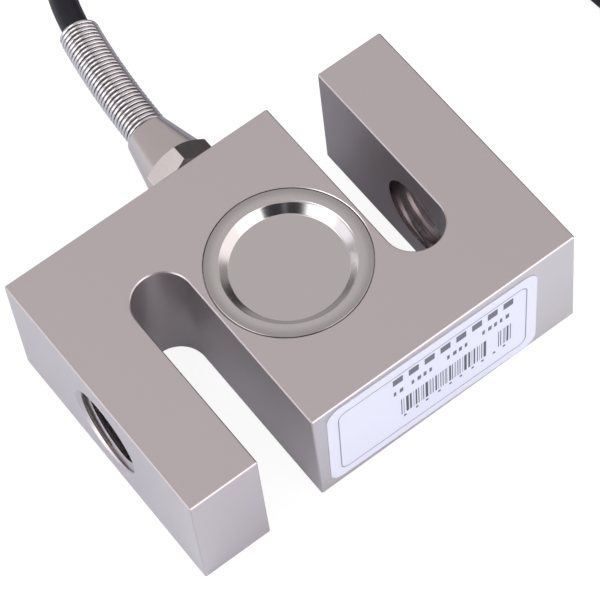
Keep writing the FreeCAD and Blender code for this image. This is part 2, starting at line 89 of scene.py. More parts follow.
# %% The cable's route, first through the air and then on the table, in millimetres
cable_diameter = 5.0
on_table = cable_diameter / 2
cable_route = [
    (0.0, 25.2, 12.7),
    (0.0, 45.0, 12.7),
    (2.85, 67.6, 12.4),
    (7.0, 79.3, 11.0),
    (15.0, 91.0, 7.6),
    (28.0, 99.0, 4.3),
    (43.5, 99.5, on_table),
    (57.5, 92.5, on_table),
    (68.0, 80.0, on_table),
    (75.5, 62.5, on_table),
    (80.3, 43.0, on_table),
    (81.7, 24.5, on_table),
    (83.0, 8.0, on_table),
    (91.3, -4.8, on_table),
    (105.0, -12.2, on_table),
    (120.3, -12.9, on_table),
    (134.3, -7.2, on_table),
    (144.8, 2.9, on_table),
    (152.4, 14.5, on_table),
    (158.3, 26.6, on_table),
    (161.1, 38.2, on_table),
]
print("points on the open route:", len(cable_route))

# %% [markdown]
# The coil has four layers, each up to four turns wide. Each turn lies beside the last one, a diameter
# away. At the end of a layer the cable climbs a diameter and works its way back. The places where it
# shifts and climbs are spread round the coil, so that no strand runs through another.

# %% Turns of the coil
coil_centre = (123.0, 50.0)
outer_turn_radius = 36.7
first_layer_z = 3.5
points_per_turn = 18
full_turn = 360.0
shift_length, climb_length = 65, 30
sideways_shifts = []
for turn_numbers, shift_start, way in (
    ((0, 1, 2), 295, -1),
    ((4, 5, 6), 200, 1),
    ((8, 9, 10), 105, -1),
    ((12, 13, 14), 10, 1),
):
    for turn_number in turn_numbers:
        sideways_shifts.append((turn_number * full_turn + shift_start, shift_length, way))
climbs = []
for turn_number, climb_start in ((3, 265), (7, 170), (11, 75)):
    climbs.append((turn_number * full_turn + climb_start, climb_length))
print("shifts to the side:", len(sideways_shifts), "and climbs:", len(climbs))


def eased(share):
    """0 before, 1 after, and a smooth step between."""
    share = min(1.0, max(0.0, share))
    return share * share * (3 - 2 * share)


def strand_place(angle):
    """Radius and height of the wound cable at this angle, counted over all turns."""
    radius = outer_turn_radius
    height = first_layer_z
    for start, length, way in sideways_shifts:
        radius += way * cable_diameter * eased((angle - start) / length)
    for start, length in climbs:
        height += cable_diameter * eased((angle - start) / length)
    return radius, height


def around_coil(radius, angle, height):
    """A point at this radius and angle about the coil's middle."""
    turned = math.radians(angle)
    return (
        coil_centre[0] + radius * math.cos(turned),
        coil_centre[1] + radius * math.sin(turned),
        height,
    )


# %% Where the tail lies on top of the coil
whole_turns = 14
tail_angles = (223, 238, 253)
tail_start = whole_turns * full_turn + tail_angles[0]
tail_radius, tail_outward = 29.2, 1.008
tail_length = 9.0
tail_gap = 0.35
coil_floor = first_layer_z - cable_diameter / 2
coil_top = coil_floor + 4 * cable_diameter
tail_height = coil_top + cable_diameter / 2 + tail_gap
print("the tail's middle is", tail_height, "mm up")

# %% The wound part, from where it settles on the table to where it leaves the outer turn and lifts
step = full_turn / points_per_turn
outward = 4 / (3 + math.cos(math.radians(step)))  # a curve runs a little inside its control points
first_angle = 2.0
settled_angle, settling_length = 28, 30
extra_radius, extra_drop = 1.2, 0.6
leave_angle, leaving_length = whole_turns * full_turn + 171, 50
lift_angle, lifting_length = whole_turns * full_turn + 153, 40
coil_points = []
angle = first_angle
while angle < tail_start - 1:
    radius, height = strand_place(angle)
    settling = eased((settled_angle - angle) / settling_length)
    radius += extra_radius * settling
    height -= extra_drop * settling
    leaving = eased((angle - leave_angle) / leaving_length)
    lifting = eased((angle - lift_angle) / lifting_length)
    radius += (tail_radius - outer_turn_radius) * leaving
    height += (tail_height - height) * lifting
    coil_points.append(around_coil(radius * outward, angle, height))
    angle += step
print("points in the wound part:", len(coil_points))

# %% The tail
for angle in tail_angles:
    coil_points.append(around_coil(tail_radius * tail_outward, angle, tail_height))
end_angle = tail_angles[-1]
end_turn = math.radians(end_angle)
tail_heading = Vector((-math.sin(end_turn), math.cos(end_turn), 0))
tail_corner = Vector(around_coil(tail_radius, end_angle, tail_height))
jacket_end = tail_corner + tail_heading * tail_length
coil_points.append(tuple(jacket_end))
print("points in the coil:", len(coil_points))

# %% The cable's curve
cable_curve = bpy.data.curves.new("cable", "CURVE")
cable_curve.dimensions = "3D"
cable_curve.resolution_u = 8
cable_line = cable_curve.splines.new("NURBS")
every_point = cable_route + coil_points
cable_line.points.add(len(every_point) - 1)
for point, place in zip(cable_line.points, every_point):
    point.co = (place[0] * MM, place[1] * MM, place[2] * MM, 1.0)
cable_line.order_u = 3
cable_line.use_endpoint_u = True
cable = bpy.data.objects.new("cable", cable_curve)
bpy.context.scene.collection.objects.link(cable)
print("points in the whole cable:", len(every_point))

# %% The cable's middle line, read back from the curve for the pieces that follow it
line_mesh = bpy.data.meshes.new_from_object(cable)
cable_middle = [vertex.co.copy() for vertex in line_mesh.vertices]
bpy.data.meshes.remove(line_mesh)
cable_length = sum((b - a).length for a, b in zip(cable_middle, cable_middle[1:]))
print("cable length %.3f m in %d points" % (cable_length, len(cable_middle)))
cable_curve.bevel_depth = cable_diameter / 2 * MM
cable_curve.bevel_resolution = 6
cable_curve.use_fill_caps = True

# %% [markdown]
# ## The studio
# The picture has a white ground that fades into nothing, and a large soft light all round. A floor that
# is only lit would come out grey beside the metal, so it also shines a little by itself towards the
# camera. What the metal sees of it is a plain, slightly cool, lit floor. Behind the block, on the
# gland's right, that floor has painted shade, which darkens the slot walls that mirror it. At the
# block's front right corner it has a painted glow, a little brighter, which lights the narrow face
# beyond the label. Light that is the same all round would leave the metal flat, so the sky has brighter
# and darker patches to mirror.

# %% Shader helpers that the materials and the sky share
def feed(tree, socket, source):
    """Links a socket to another node's result, or sets it to a plain value."""
    if isinstance(source, bpy.types.NodeSocket):
        tree.links.new(source, socket)
    else:
        socket.default_value = source


def ramp(tree, value, low, high, to_low=0.0, to_high=1.0, smooth=True):
    """Takes a value from between low and high to between to_low and to_high."""
    node = tree.nodes.new("ShaderNodeMapRange")
    node.interpolation_type = "SMOOTHSTEP" if smooth else "LINEAR"
    node.inputs["From Min"].default_value = low
    node.inputs["From Max"].default_value = high
    node.inputs["To Min"].default_value = to_low
    node.inputs["To Max"].default_value = to_high
    tree.links.new(value, node.inputs["Value"])
    return node.outputs["Result"]


def product(tree, first, second):
    """Multiplies two values."""
    node = tree.nodes.new("ShaderNodeMath")
    node.operation = "MULTIPLY"
    tree.links.new(first, node.inputs[0])
    tree.links.new(second, node.inputs[1])
    return node.outputs[0]


def mixed(tree, share, first, second, blend="MIX"):
    """Mixes two colours, each a result or a plain colour, by this share of the second one."""
    node = tree.nodes.new("ShaderNodeMix")
    node.data_type = "RGBA"
    node.blend_type = blend
    feed(tree, node.inputs["Factor"], share)
    feed(tree, node.inputs[6], first)
    feed(tree, node.inputs[7], second)
    return node.outputs[2]


# %% The floor's disc
floor_radius = 3.0
floor_mesh = bpy.data.meshes.new("floor")
floor_shape = bmesh.new()
bmesh.ops.create_circle(floor_shape, cap_ends=True, segments=96, radius=floor_radius)
floor_shape.to_mesh(floor_mesh)
floor_shape.free()
floor = bpy.data.objects.new("floor", floor_mesh)
bpy.context.scene.collection.objects.link(floor)
print("floor faces:", len(floor_mesh.polygons))

# %% What the metal sees of the floor: paper, with painted shade at the back and a painted glow at the front right corner
paper_color = (0.885, 0.935, 0.995, 1)
painted_shade_color = (0.48, 0.49, 0.54, 1)
dark_from_x, dark_at_x = -0.006, 0.008
dark_from_y, dark_at_y = -0.008, 0.012
# The fill is a glow painted on the floor near the block's front right corner; the camera does not see
# it.
fill_place = (0.040, -0.033, 0)
fill_color = (0.94, 1.0, 1.0, 1)
fill_strength = 0.17
fill_starts, fill_is_full = 0.026, 0.008

floor_material = bpy.data.materials.new("pale_floor")
floor_material.use_nodes = True
tree = floor_material.node_tree
tree.nodes.clear()
floor_place = tree.nodes.new("ShaderNodeTexCoord").outputs["Object"]
floor_axes = tree.nodes.new("ShaderNodeSeparateXYZ")
tree.links.new(floor_place, floor_axes.inputs[0])
# Painted shade on the floor behind the block, on the gland's right.
to_the_back = ramp(tree, floor_axes.outputs["Y"], dark_from_y, dark_at_y)
to_the_right = ramp(tree, floor_axes.outputs["X"], dark_from_x, dark_at_x)
painted_shade_share = product(tree, to_the_back, to_the_right)
lit = tree.nodes.new("ShaderNodeBsdfDiffuse")
tree.links.new(mixed(tree, painted_shade_share, paper_color, painted_shade_color), lit.inputs["Color"])
from_fill = tree.nodes.new("ShaderNodeVectorMath")
from_fill.operation = "DISTANCE"
from_fill.inputs[1].default_value = fill_place
tree.links.new(floor_place, from_fill.inputs[0])
fill = tree.nodes.new("ShaderNodeEmission")
fill.inputs["Color"].default_value = fill_color
fill_share = ramp(tree, from_fill.outputs["Value"], fill_starts, fill_is_full, to_high=fill_strength)
tree.links.new(fill_share, fill.inputs["Strength"])
for_the_metal = tree.nodes.new("ShaderNodeAddShader")
tree.links.new(lit.outputs[0], for_the_metal.inputs[0])
tree.links.new(fill.outputs[0], for_the_metal.inputs[1])
print("nodes for the floor that the metal sees:", len(tree.nodes))

# %% What the camera sees of it: a faint grey that also shines, so that it fades into white
faint_color = (0.2, 0.2, 0.2, 1)
glow_strength = 0.88
faint = tree.nodes.new("ShaderNodeBsdfDiffuse")
faint.inputs["Color"].default_value = faint_color
glow = tree.nodes.new("ShaderNodeEmission")
glow.inputs["Strength"].default_value = glow_strength
for_the_camera = tree.nodes.new("ShaderNodeAddShader")
tree.links.new(faint.outputs[0], for_the_camera.inputs[0])
tree.links.new(glow.outputs[0], for_the_camera.inputs[1])
seen = tree.nodes.new("ShaderNodeLightPath")
choice = tree.nodes.new("ShaderNodeMixShader")
tree.links.new(seen.outputs["Is Camera Ray"], choice.inputs[0])
tree.links.new(for_the_metal.outputs[0], choice.inputs[1])
tree.links.new(for_the_camera.outputs[0], choice.inputs[2])
output = tree.nodes.new("ShaderNodeOutputMaterial")
tree.links.new(choice.outputs[0], output.inputs["Surface"])
floor_mesh.materials.append(floor_material)
print("nodes for the whole floor:", len(tree.nodes))

# %% Light all round
world = bpy.data.worlds.new("studio")
bpy.context.scene.world = world
world.use_nodes = True
sky = world.node_tree
sky.nodes.clear()
sky_output = sky.nodes.new("ShaderNodeOutputWorld")
background = sky.nodes.new("ShaderNodeBackground")
direction = sky.nodes.new("ShaderNodeTexCoord")
sky.links.new(background.outputs[0], sky_output.inputs["Surface"])


def light_patch(before, towards, half_angle, edge, color):
    """Mixes a soft-edged round patch of light over what comes before it."""
    dot = sky.nodes.new("ShaderNodeVectorMath")
    dot.operation = "DOT_PRODUCT"
    dot.inputs[1].default_value = Vector(towards).normalized()
    sky.links.new(direction.outputs["Generated"], dot.inputs[0])
    outside = math.cos(math.radians(half_angle + edge))
    inside = math.cos(math.radians(half_angle - edge))
    share = ramp(sky, dot.outputs["Value"], outside, inside)
    return mixed(sky, share, before, (*color, 1))


base_light = sky.nodes.new("ShaderNodeRGB")
base_light.outputs[0].default_value = (0.72, 0.67, 0.675, 1)

# %% The patches for the metal to mirror: direction, half angle, soft edge and colour
sky_color = base_light.outputs[0]
for towards, half_angle, edge, color in (
    ((-0.45, 0.25, 0.86), 16, 6, (3.0, 2.95, 3.1)),
    ((0.35, -0.90, 0.20), 34, 8, (2.64, 2.6, 2.62)),
    ((-0.97, -0.085, 0.24), 22, 8, (2.5, 2.45, 2.5)),
    ((-0.88, 0.46, 0.05), 16, 8, (1.55, 1.5, 1.58)),
    ((-0.55, -0.80, 0.10), 26, 8, (2.3, 2.25, 2.3)),
    ((0.78, -0.55, 0.30), 22, 8, (1.66, 1.52, 1.55)),
    ((0.91, 0.40, 0.12), 17, 5, (0.06, 0.055, 0.06)),
    ((0.10, 1.00, 0.02), 17, 7, (0.14, 0.135, 0.145)),
    ((-0.665, -0.62, 0.36), 14, 6, (0.02, 0.02, 0.03)),
    ((-0.30, -0.86, 0.37), 15, 2, (0.02, 0.02, 0.03)),
):
    sky_color = light_patch(sky_color, towards, half_angle, edge, color)
sky.links.new(sky_color, background.inputs["Color"])
background.inputs["Strength"].default_value = 1.0
bpy.context.scene.view_settings.view_transform = "Standard"
print("nodes in the sky:", len(sky.nodes))

# %% [markdown]
# ## Finishes
# Each finish is a small node material. Colour and roughness change a little from place to place, as they
# do on real plated, pressed or moulded parts, and fine bumps catch the light. A picture laid over the
# metal could do it too, but a noise needs no picture and fits every piece.

# %% A finish that varies softly over the piece
bump_height = 0.00002


def finish(name, color, roughness, metallic, grain, color_change, rough_change, bump):
    """A plain finish whose colour, roughness and height change with a fine noise."""
    material = bpy.data.materials.new(name)
    material.use_nodes = True
    tree = material.node_tree
    shader = tree.nodes["Principled BSDF"]
    place = tree.nodes.new("ShaderNodeTexCoord")
    noise = tree.nodes.new("ShaderNodeTexNoise")
    noise.inputs["Scale"].default_value = grain
    noise.inputs["Detail"].default_value = 3.0
    tree.links.new(place.outputs["Object"], noise.inputs["Vector"])
    grain_here = noise.outputs["Fac"]
    darker = (*[c * (1 - color_change) for c in color], 1)
    lighter = (*[min(1.0, c * (1 + color_change)) for c in color], 1)
    tree.links.new(mixed(tree, grain_here, darker, lighter), shader.inputs["Base Color"])
    smoothest, roughest = roughness - rough_change / 2, roughness + rough_change / 2
    rough = ramp(tree, grain_here, 0.0, 1.0, smoothest, roughest, smooth=False)
    tree.links.new(rough, shader.inputs["Roughness"])
    shader.inputs["Metallic"].default_value = metallic
    if bump > 0:
        relief = tree.nodes.new("ShaderNodeBump")
        relief.inputs["Strength"].default_value = bump
        relief.inputs["Distance"].default_value = bump_height
        tree.links.new(grain_here, relief.inputs["Height"])
        tree.links.new(relief.outputs["Normal"], shader.inputs["Normal"])
    return material


# %% Places where a finish is darker
def darken_where_low(material, light_from, dark_to, dark, polish=1.0, attribute="tone"):
    """Where the attribute is low, colour is multiplied by dark and roughness by polish."""
    tree = material.node_tree
    shader = tree.nodes["Principled BSDF"]
    tone = tree.nodes.new("ShaderNodeAttribute")
    tone.attribute_name = attribute
    share_left = ramp(tree, tone.outputs["Fac"], dark_to, light_from, to_low=dark)
    old_color = shader.inputs["Base Color"].links[0].from_socket
    new_color = mixed(tree, 1.0, old_color, share_left, blend="MULTIPLY")
    tree.links.new(new_color, shader.inputs["Base Color"])
    rough_left = ramp(tree, tone.outputs["Fac"], dark_to, light_from, to_low=polish, smooth=False)
    old_rough = shader.inputs["Roughness"].links[0].from_socket
    tree.links.new(product(tree, old_rough, rough_left), shader.inputs["Roughness"])


# %% The finishes: colour, roughness, metallic, grain, change of colour, change of roughness, bump
block_finish = finish("satin_nickel_block", (0.57, 0.532, 0.537), 0.33, 1.0, 2600, 0.015, 0.04, 0.05)
darken_where_low(block_finish, 1.0, 0.0, 0.97, 0.6)
# Painted shade on the broken outer edges, which dims the highlight along them.
darken_where_low(block_finish, 1.0, 0.0, 0.86, 1.0, "painted_edge_shade")
cover_finish = finish("pressed_steel_cover", (0.58, 0.568, 0.56), 0.16, 1.0, 1800, 0.01, 0.03, 0.02)
# Painted shade on the outer rim of each cover.
darken_where_low(cover_finish, 1.0, 0.0, 0.72)
nut_finish = finish("bright_nickel_nut", (0.545, 0.51, 0.495), 0.22, 1.0, 1500, 0.02, 0.05, 0.03)
wire_finish = finish("bright_spring_wire", (0.66, 0.64, 0.65), 0.2, 1.0, 1500, 0.03, 0.06, 0.0)
# Painted shade deep between the spring's turns.
darken_where_low(wire_finish, 0.9, 0.2, 0.12)
jacket_finish = finish("black_cable_jacket", (0.006, 0.006, 0.012), 0.42, 0.0, 700, 0.12, 0.08, 0.12)
jacket_finish.node_tree.nodes["Principled BSDF"].inputs["Specular IOR Level"].default_value = 0.3
rubber_finish = finish("black_rubber", (0.018, 0.018, 0.018), 0.6, 0.0, 900, 0.1, 0.08, 0.2)
nylon_finish = finish("brown_nylon_washer", (0.06, 0.035, 0.025), 0.45, 0.0, 900, 0.1, 0.08, 0.1)
tie_finish = finish("black_nylon_tie", (0.02, 0.02, 0.021), 0.4, 0.0, 900, 0.1, 0.08, 0.1)
sleeve_finish = finish("black_shrunk_sleeve", (0.016, 0.016, 0.018), 0.34, 0.0, 600, 0.1, 0.1, 0.15)
label_finish = finish("white_label_film", (0.695, 0.71, 0.815), 0.42, 0.0, 500, 0.01, 0.04, 0.02)
ink_finish = finish("label_ink", (0.055, 0.055, 0.075), 0.5, 0.0, 900, 0.15, 0.06, 0.0)
field_finish = finish("label_fields", (0.12, 0.12, 0.155), 0.5, 0.0, 900, 0.12, 0.06, 0.0)
pale_ink_finish = finish("label_pale_ink", (0.36, 0.36, 0.42), 0.5, 0.0, 900, 0.1, 0.06, 0.0)
line_finish = finish("label_line", (0.20, 0.21, 0.27), 0.5, 0.0, 900, 0.05, 0.06, 0.0)
gauge_film_finish = finish("amber_gauge_film", (0.45, 0.22, 0.05), 0.35, 0.0, 1500, 0.1, 0.08, 0.05)
foil_finish = finish("gauge_foil", (0.70, 0.62, 0.50), 0.28, 1.0, 2000, 0.05, 0.06, 0.03)
board_finish = finish("green_board", (0.02, 0.14, 0.06), 0.4, 0.0, 1800, 0.12, 0.08, 0.08)
resistor_finish = finish("dark_resistor", (0.03, 0.03, 0.035), 0.4, 0.0, 1800, 0.1, 0.08, 0.05)
solder_finish = finish("bright_solder", (0.75, 0.75, 0.73), 0.25, 1.0, 2500, 0.05, 0.1, 0.1)
copper_finish = finish("bare_copper", (0.80, 0.45, 0.30), 0.32, 1.0, 3000, 0.08, 0.1, 0.1)
core_finishes = {
    "red": finish("red_core", (0.55, 0.02, 0.02), 0.4, 0.0, 900, 0.08, 0.06, 0.08),
    "black": finish("black_core", (0.02, 0.02, 0.02), 0.4, 0.0, 900, 0.08, 0.06, 0.08),
    "drain": copper_finish,
    "green": finish("green_core", (0.02, 0.30, 0.07), 0.4, 0.0, 900, 0.08, 0.06, 0.08),
    "white": finish("white_core", (0.80, 0.80, 0.78), 0.4, 0.0, 900, 0.04, 0.06, 0.08),
}
print("finishes:", len(bpy.data.materials))


# %% Helpers that put a finished mesh in the scene
def show(name, mesh, material, stands_for=()):
    """Makes the mesh a piece of the load cell, at the origin, in place of its CAD nodes."""
    mesh.materials.clear()
    mesh.materials.append(material)
    piece = bpy.data.objects.new(name, mesh)
    bpy.context.scene.collection.objects.link(piece)
    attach(piece, "root")
    if stands_for:
        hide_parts(*stands_for)
    print(name, "faces", len(mesh.polygons))
    return piece


def smooth(mesh):
    """Smooth shading all over."""
    mesh.polygons.foreach_set("use_smooth", [True] * len(mesh.polygons))


def shade(mesh, sharp_degrees):
    """Smooth shading, kept sharp where faces meet at more than this angle."""
    smooth(mesh)
    mesh.set_sharp_from_angle(angle=math.radians(sharp_degrees))


def mesh_from(shape, name):
    """The bmesh as a mesh without the CAD file's own normals; the bmesh is freed."""
    mesh = bpy.data.meshes.new(name)
    shape.to_mesh(mesh)
    shape.free()
    if "custom_normal" in mesh.attributes:
        mesh.attributes.remove(mesh.attributes["custom_normal"])
    return mesh


# %% [markdown]
# ## The block
# The block is machined from one bar and its two load holes are tapped. The frame's hole is the plain
# tapping drill. A thread could be faked with a bump, but both holes are seen from the side, where only
# real grooves look right. So a V shaped section is spun up a helix and cut out of the wall. Two values
# on its faces tell the finish where the bores and the seats' edges are, which it makes a little darker
# and smoother, and where the broken outer edges are, which get painted shade that dims their highlight.

# %% A node's own shape, and one mesh cut by another
def merged_shape(node):
    """A merged copy of a CAD node's loose triangles, with its flat areas joined."""
    shape = bmesh.new()
    shape.from_mesh(nodes[node].data)
    bmesh.ops.remove_doubles(shape, verts=shape.verts, dist=1e-6)
    still_flat = math.radians(0.5)
    bmesh.ops.dissolve_limit(shape, angle_limit=still_flat, verts=shape.verts, edges=shape.edges)
    return shape


def combined(mesh, other, operation):
    """The first mesh with the second one taken away or in common, as a new mesh."""
    first = bpy.data.objects.new("first", mesh)
    second = bpy.data.objects.new("second", other)
    for thing in (first, second):
        bpy.context.scene.collection.objects.link(thing)
    cut = first.modifiers.new("cut", "BOOLEAN")
    cut.operation = operation
    cut.solver = "EXACT"
    cut.object = second
    bpy.context.view_layer.update()
    ready = first.evaluated_get(bpy.context.evaluated_depsgraph_get())
    result = bpy.data.meshes.new_from_object(ready)
    bpy.data.objects.remove(first)
    bpy.data.objects.remove(second)
    return result


# %% The thread cutter
thread_pitch = 2.0
steps_per_groove = 48
bore_radius, groove_radius = 7.0, 8.0
half_mouth, half_root = 0.82, 0.14
overlap = 0.2
cutter_length = 16.0


def thread_cutter(start_x):
    """A solid helix of the groove's section, about the load axis, from this place to the right."""
    shape = bmesh.new()
    inside = bore_radius - overlap
    section = [
        (-half_mouth, inside),
        (-half_root, groove_radius),
        (half_root, groove_radius),
        (half_mouth, inside),
    ]
    corners = [shape.verts.new(((start_x + x) * MM, 0, middle_z + r * MM)) for x, r in section]
    shape.faces.new(corners)
    turns = cutter_length / thread_pitch
    bmesh.ops.spin(
        shape,
        geom=shape.verts[:] + shape.edges[:] + shape.faces[:],
        cent=(0, 0, middle_z),
        axis=(1, 0, 0),
        dvec=(thread_pitch / steps_per_groove * MM, 0, 0),
        angle=turns * 2 * math.pi,
        steps=int(turns * steps_per_groove),
        use_duplicate=False,
    )
    bmesh.ops.remove_doubles(shape, verts=shape.verts, dist=1e-7)
    bmesh.ops.recalc_face_normals(shape, faces=shape.faces)
    return mesh_from(shape, "thread_cutter")


# %% The edges of the covers' seats, rounded
seat_edge_radius = 13.8
seat_rounding = 0.2


def on_seat_edge(vertex, face_z):
    """Whether this corner lies on the edge of the cover's seat in the face at this height."""
    off_edge = abs(vertex.co.xy.length - seat_edge_radius * MM)
    return abs(vertex.co.z - face_z) < 1e-6 and off_edge < 5e-5


block_shape = merged_shape("spring_body")
seat_edges = []
for edge in block_shape.edges:
    for face_z in (block_low.z, block_high.z):
        if all(on_seat_edge(vertex, face_z) for vertex in edge.verts):
            seat_edges.append(edge)
print("edges round the two seats:", len(seat_edges))
bmesh.ops.bevel(
    block_shape,
    geom=seat_edges,
    affect="EDGES",
    offset=seat_rounding * MM,
    segments=2,
    profile=0.5,
    material=-1,
)

# %% Both threads cut
cutter_starts = (-38.5, 22.4)
block_mesh = mesh_from(block_shape, "block")
for start_x in cutter_starts:
    block_mesh = combined(block_mesh, thread_cutter(start_x), "DIFFERENCE")
shade(block_mesh, 18)
print("block faces with the threads:", len(block_mesh.polygons))

# %% The places where its finish is darker
bore_from_x, bore_to_x = 25.15, 36.95
bore_reach = groove_radius + 0.05
seat_middle_radius, seat_half_width = 13.9, 0.2
rim_height = 0.25
rim_from_y = 25.15
bore_edge_radius = 9.0
flat_from = 0.9
for name in ("tone", "painted_edge_shade"):
    block_mesh.attributes.new(name, "FLOAT", "FACE")
tone = block_mesh.attributes["tone"].data
painted_edge_shade = block_mesh.attributes["painted_edge_shade"].data
bore_faces = [0, 0]
seat_faces = 0
broken_edges = 0
for polygon in block_mesh.polygons:
    centre, normal = polygon.center, polygon.normal
    off_axis = math.hypot(centre.y, centre.z - middle_z)
    beyond_slot = bore_from_x < abs(centre.x) / MM < bore_to_x
    in_bore = off_axis < bore_reach * MM and beyond_slot
    near_seat = abs(centre.xy.length - seat_middle_radius * MM) < seat_half_width * MM
    on_seat = near_seat and 0.01 < abs(normal.z) < 0.99
    near_broad_face = abs(abs(centre.z - middle_z) - middle_z) < rim_height * MM
    at_rim = near_broad_face or abs(centre.y) > rim_from_y * MM
    slanted = max(abs(part) for part in normal) < flat_from
    # The broken outer edges get painted shade, which dims their highlight.
    on_broken_edge = at_rim and slanted and off_axis > bore_edge_radius * MM and not on_seat
    tone[polygon.index].value = 0.0 if in_bore or on_seat else 1.0
    painted_edge_shade[polygon.index].value = 0.0 if on_broken_edge else 1.0
    bore_faces[centre.x > 0] += in_bore
    seat_faces += on_seat
    broken_edges += on_broken_edge
print("faces in the left and the right bore:", bore_faces, "and on the seats' edges:", seat_faces)
print("faces on the broken outer edges:", broken_edges)
show("block", block_mesh, block_finish, ["spring_body"])

# %% [markdown]
# ## The covers
# A round cover is pressed from thin sheet: a flat rim, a short wall and a flat floor. Its bends are
# mirrors for the whole room, so they need many small steps. A cylinder with bevelled edges could do it,
# but the bends differ, so its section is drawn and spun round the upright axis.

# %% A line spun round an axis
def revolved_mesh(name, line, closed, centre, axis, steps):
    """An open or closed line through these points in metres, spun all round an axis, as a mesh."""
    shape = bmesh.new()
    places = [shape.verts.new(place) for place in line]
    following = places[1:] + places[:1] if closed else places[1:]
    edges = [shape.edges.new(pair) for pair in zip(places, following)]
    bmesh.ops.spin(
        shape,
        geom=places + edges,
        cent=centre,
        axis=axis,
        angle=2 * math.pi,
        steps=steps,
        use_merge=True,
    )
    bmesh.ops.remove_doubles(shape, verts=shape.verts, dist=1e-7)
    bmesh.ops.recalc_face_normals(shape, faces=shape.faces)
    return mesh_from(shape, name)


# %% One cover's section, from its middle outwards and back underneath
def arc(centre, radius, start, end, steps):
    """Points on an arc in the section's plane, with angles in degrees."""
    return [
        (
            centre[0] + radius * math.cos(math.radians(start + (end - start) * k / steps)),
            centre[1] + radius * math.sin(math.radians(start + (end - start) * k / steps)),
        )
        for k in range(steps + 1)
    ]


def cover_section():
    """The cover's outline as (radius, height) in millimetres, its rim at height nought."""
    rim, floor_radius, depth, sheet = 11.35, 9.8, 1.75, 0.6
    inner_bend, outer_bend = 0.45, 0.75
    beside_bend = 0.12
    flat_end, edge_centre, edge_rounding, outer_radius = 13.5, 13.56, 0.14, 13.7
    under_rim, under_wall, under_foot = 12.6, 11.9, 10.95
    lean = math.degrees(math.atan2(depth, rim - floor_radius))
    floor_end = floor_radius - inner_bend * math.tan(math.radians(lean / 2))
    rim_start = rim + outer_bend * math.tan(math.radians(lean / 2))
    section = [(0.0, -depth), (floor_end - beside_bend, -depth)]
    section += arc((floor_end, -depth + inner_bend), inner_bend, -90, -90 + lean, 8)
    section += arc((rim_start, -outer_bend), outer_bend, 90 + lean, 90, 8)
    section += [(rim_start + beside_bend, 0.0), (flat_end, 0.0)]
    section += arc((edge_centre, -edge_rounding), edge_rounding, 90, 0, 4)
    section += [(outer_radius, -sheet), (under_rim, -sheet), (under_wall, -sheet)]
    section += [(under_foot, -depth - sheet), (0.0, -depth - sheet)]
    return section


print("points in the cover's section:", len(cover_section()))

# %% Both covers, with painted shade on the outer rim round their dish
cover_steps = 144
painted_shade_from_radius = 12.1


def cover_mesh(face_z, way):
    """The cover's section spun about the upright axis, on the upper (way 1) or lower (way -1) face."""
    line = [(r * MM, 0, face_z + way * z * MM) for r, z in cover_section()]
    mesh = revolved_mesh("cover", line, False, (0, 0, 0), (0, 0, 1), cover_steps)
    shade(mesh, 40)
    # Beyond this radius the cover's rim is marked for painted shade.
    tone = mesh.attributes.new("tone", "FLOAT", "POINT")
    for vertex in mesh.vertices:
        tone.data[vertex.index].value = 1.0 if vertex.co.xy.length < painted_shade_from_radius * MM else 0.0
    return mesh


show("upper_cover", cover_mesh(block_high.z, 1), cover_finish, ["top_cover"])
show("lower_cover", cover_mesh(block_low.z, -1), cover_finish, ["bottom_cover"])

# %% [markdown]
# ## The gland
# The nut is a hexagon whose front end is turned to a long cone. On a lathe that leaves curved edges
# where the cone meets the flats, and the same happens here: a hexagonal bar and a turned envelope are
# made, and what they have in common is the nut.

# %% The hexagonal bar, with a corner on top
nut_start_y, nut_end_y = 29.0, 41.4
nut_flat_radius = 6.0
nut_corner_radius = nut_flat_radius / math.cos(math.pi / 6)
corner_rounding = 0.12
spare = 0.5
hexagon = bmesh.new()
bmesh.ops.create_circle(hexagon, cap_ends=True, segments=6, radius=nut_corner_radius * MM)
bmesh.ops.rotate(hexagon, verts=hexagon.verts, matrix=Matrix.Rotation(math.pi / 2, 3, "X"))
bmesh.ops.translate(hexagon, verts=hexagon.verts, vec=(0, (nut_start_y - spare) * MM, middle_z))
extruded = bmesh.ops.extrude_face_region(hexagon, geom=hexagon.faces[:])
ends = [g for g in extruded["geom"] if isinstance(g, bmesh.types.BMVert)]
bar_length = nut_end_y - nut_start_y + 2 * spare
bmesh.ops.translate(hexagon, verts=ends, vec=(0, bar_length * MM, 0))
long_edges = [e for e in hexagon.edges if abs(e.verts[0].co.y - e.verts[1].co.y) > bar_length / 2 * MM]
print("long edges of the bar:", len(long_edges))
bmesh.ops.bevel(
    hexagon,
    geom=long_edges,
    affect="EDGES",
    offset=corner_rounding * MM,
    segments=2,
    profile=0.5,
    material=-1,
)
bmesh.ops.recalc_face_normals(hexagon, faces=hexagon.faces)
hexagon_mesh = mesh_from(hexagon, "hexagon")


# %% The turned envelope, and the nut as what they share
turned_steps = 96


def turned_mesh(profile):
    """A closed (radius, y) outline spun about the gland's axis."""
    line = [(0, y * MM, middle_z + r * MM) for r, y in profile]
    return revolved_mesh("turned", line, True, (0, 0, middle_z), (0, 1, 0), turned_steps)


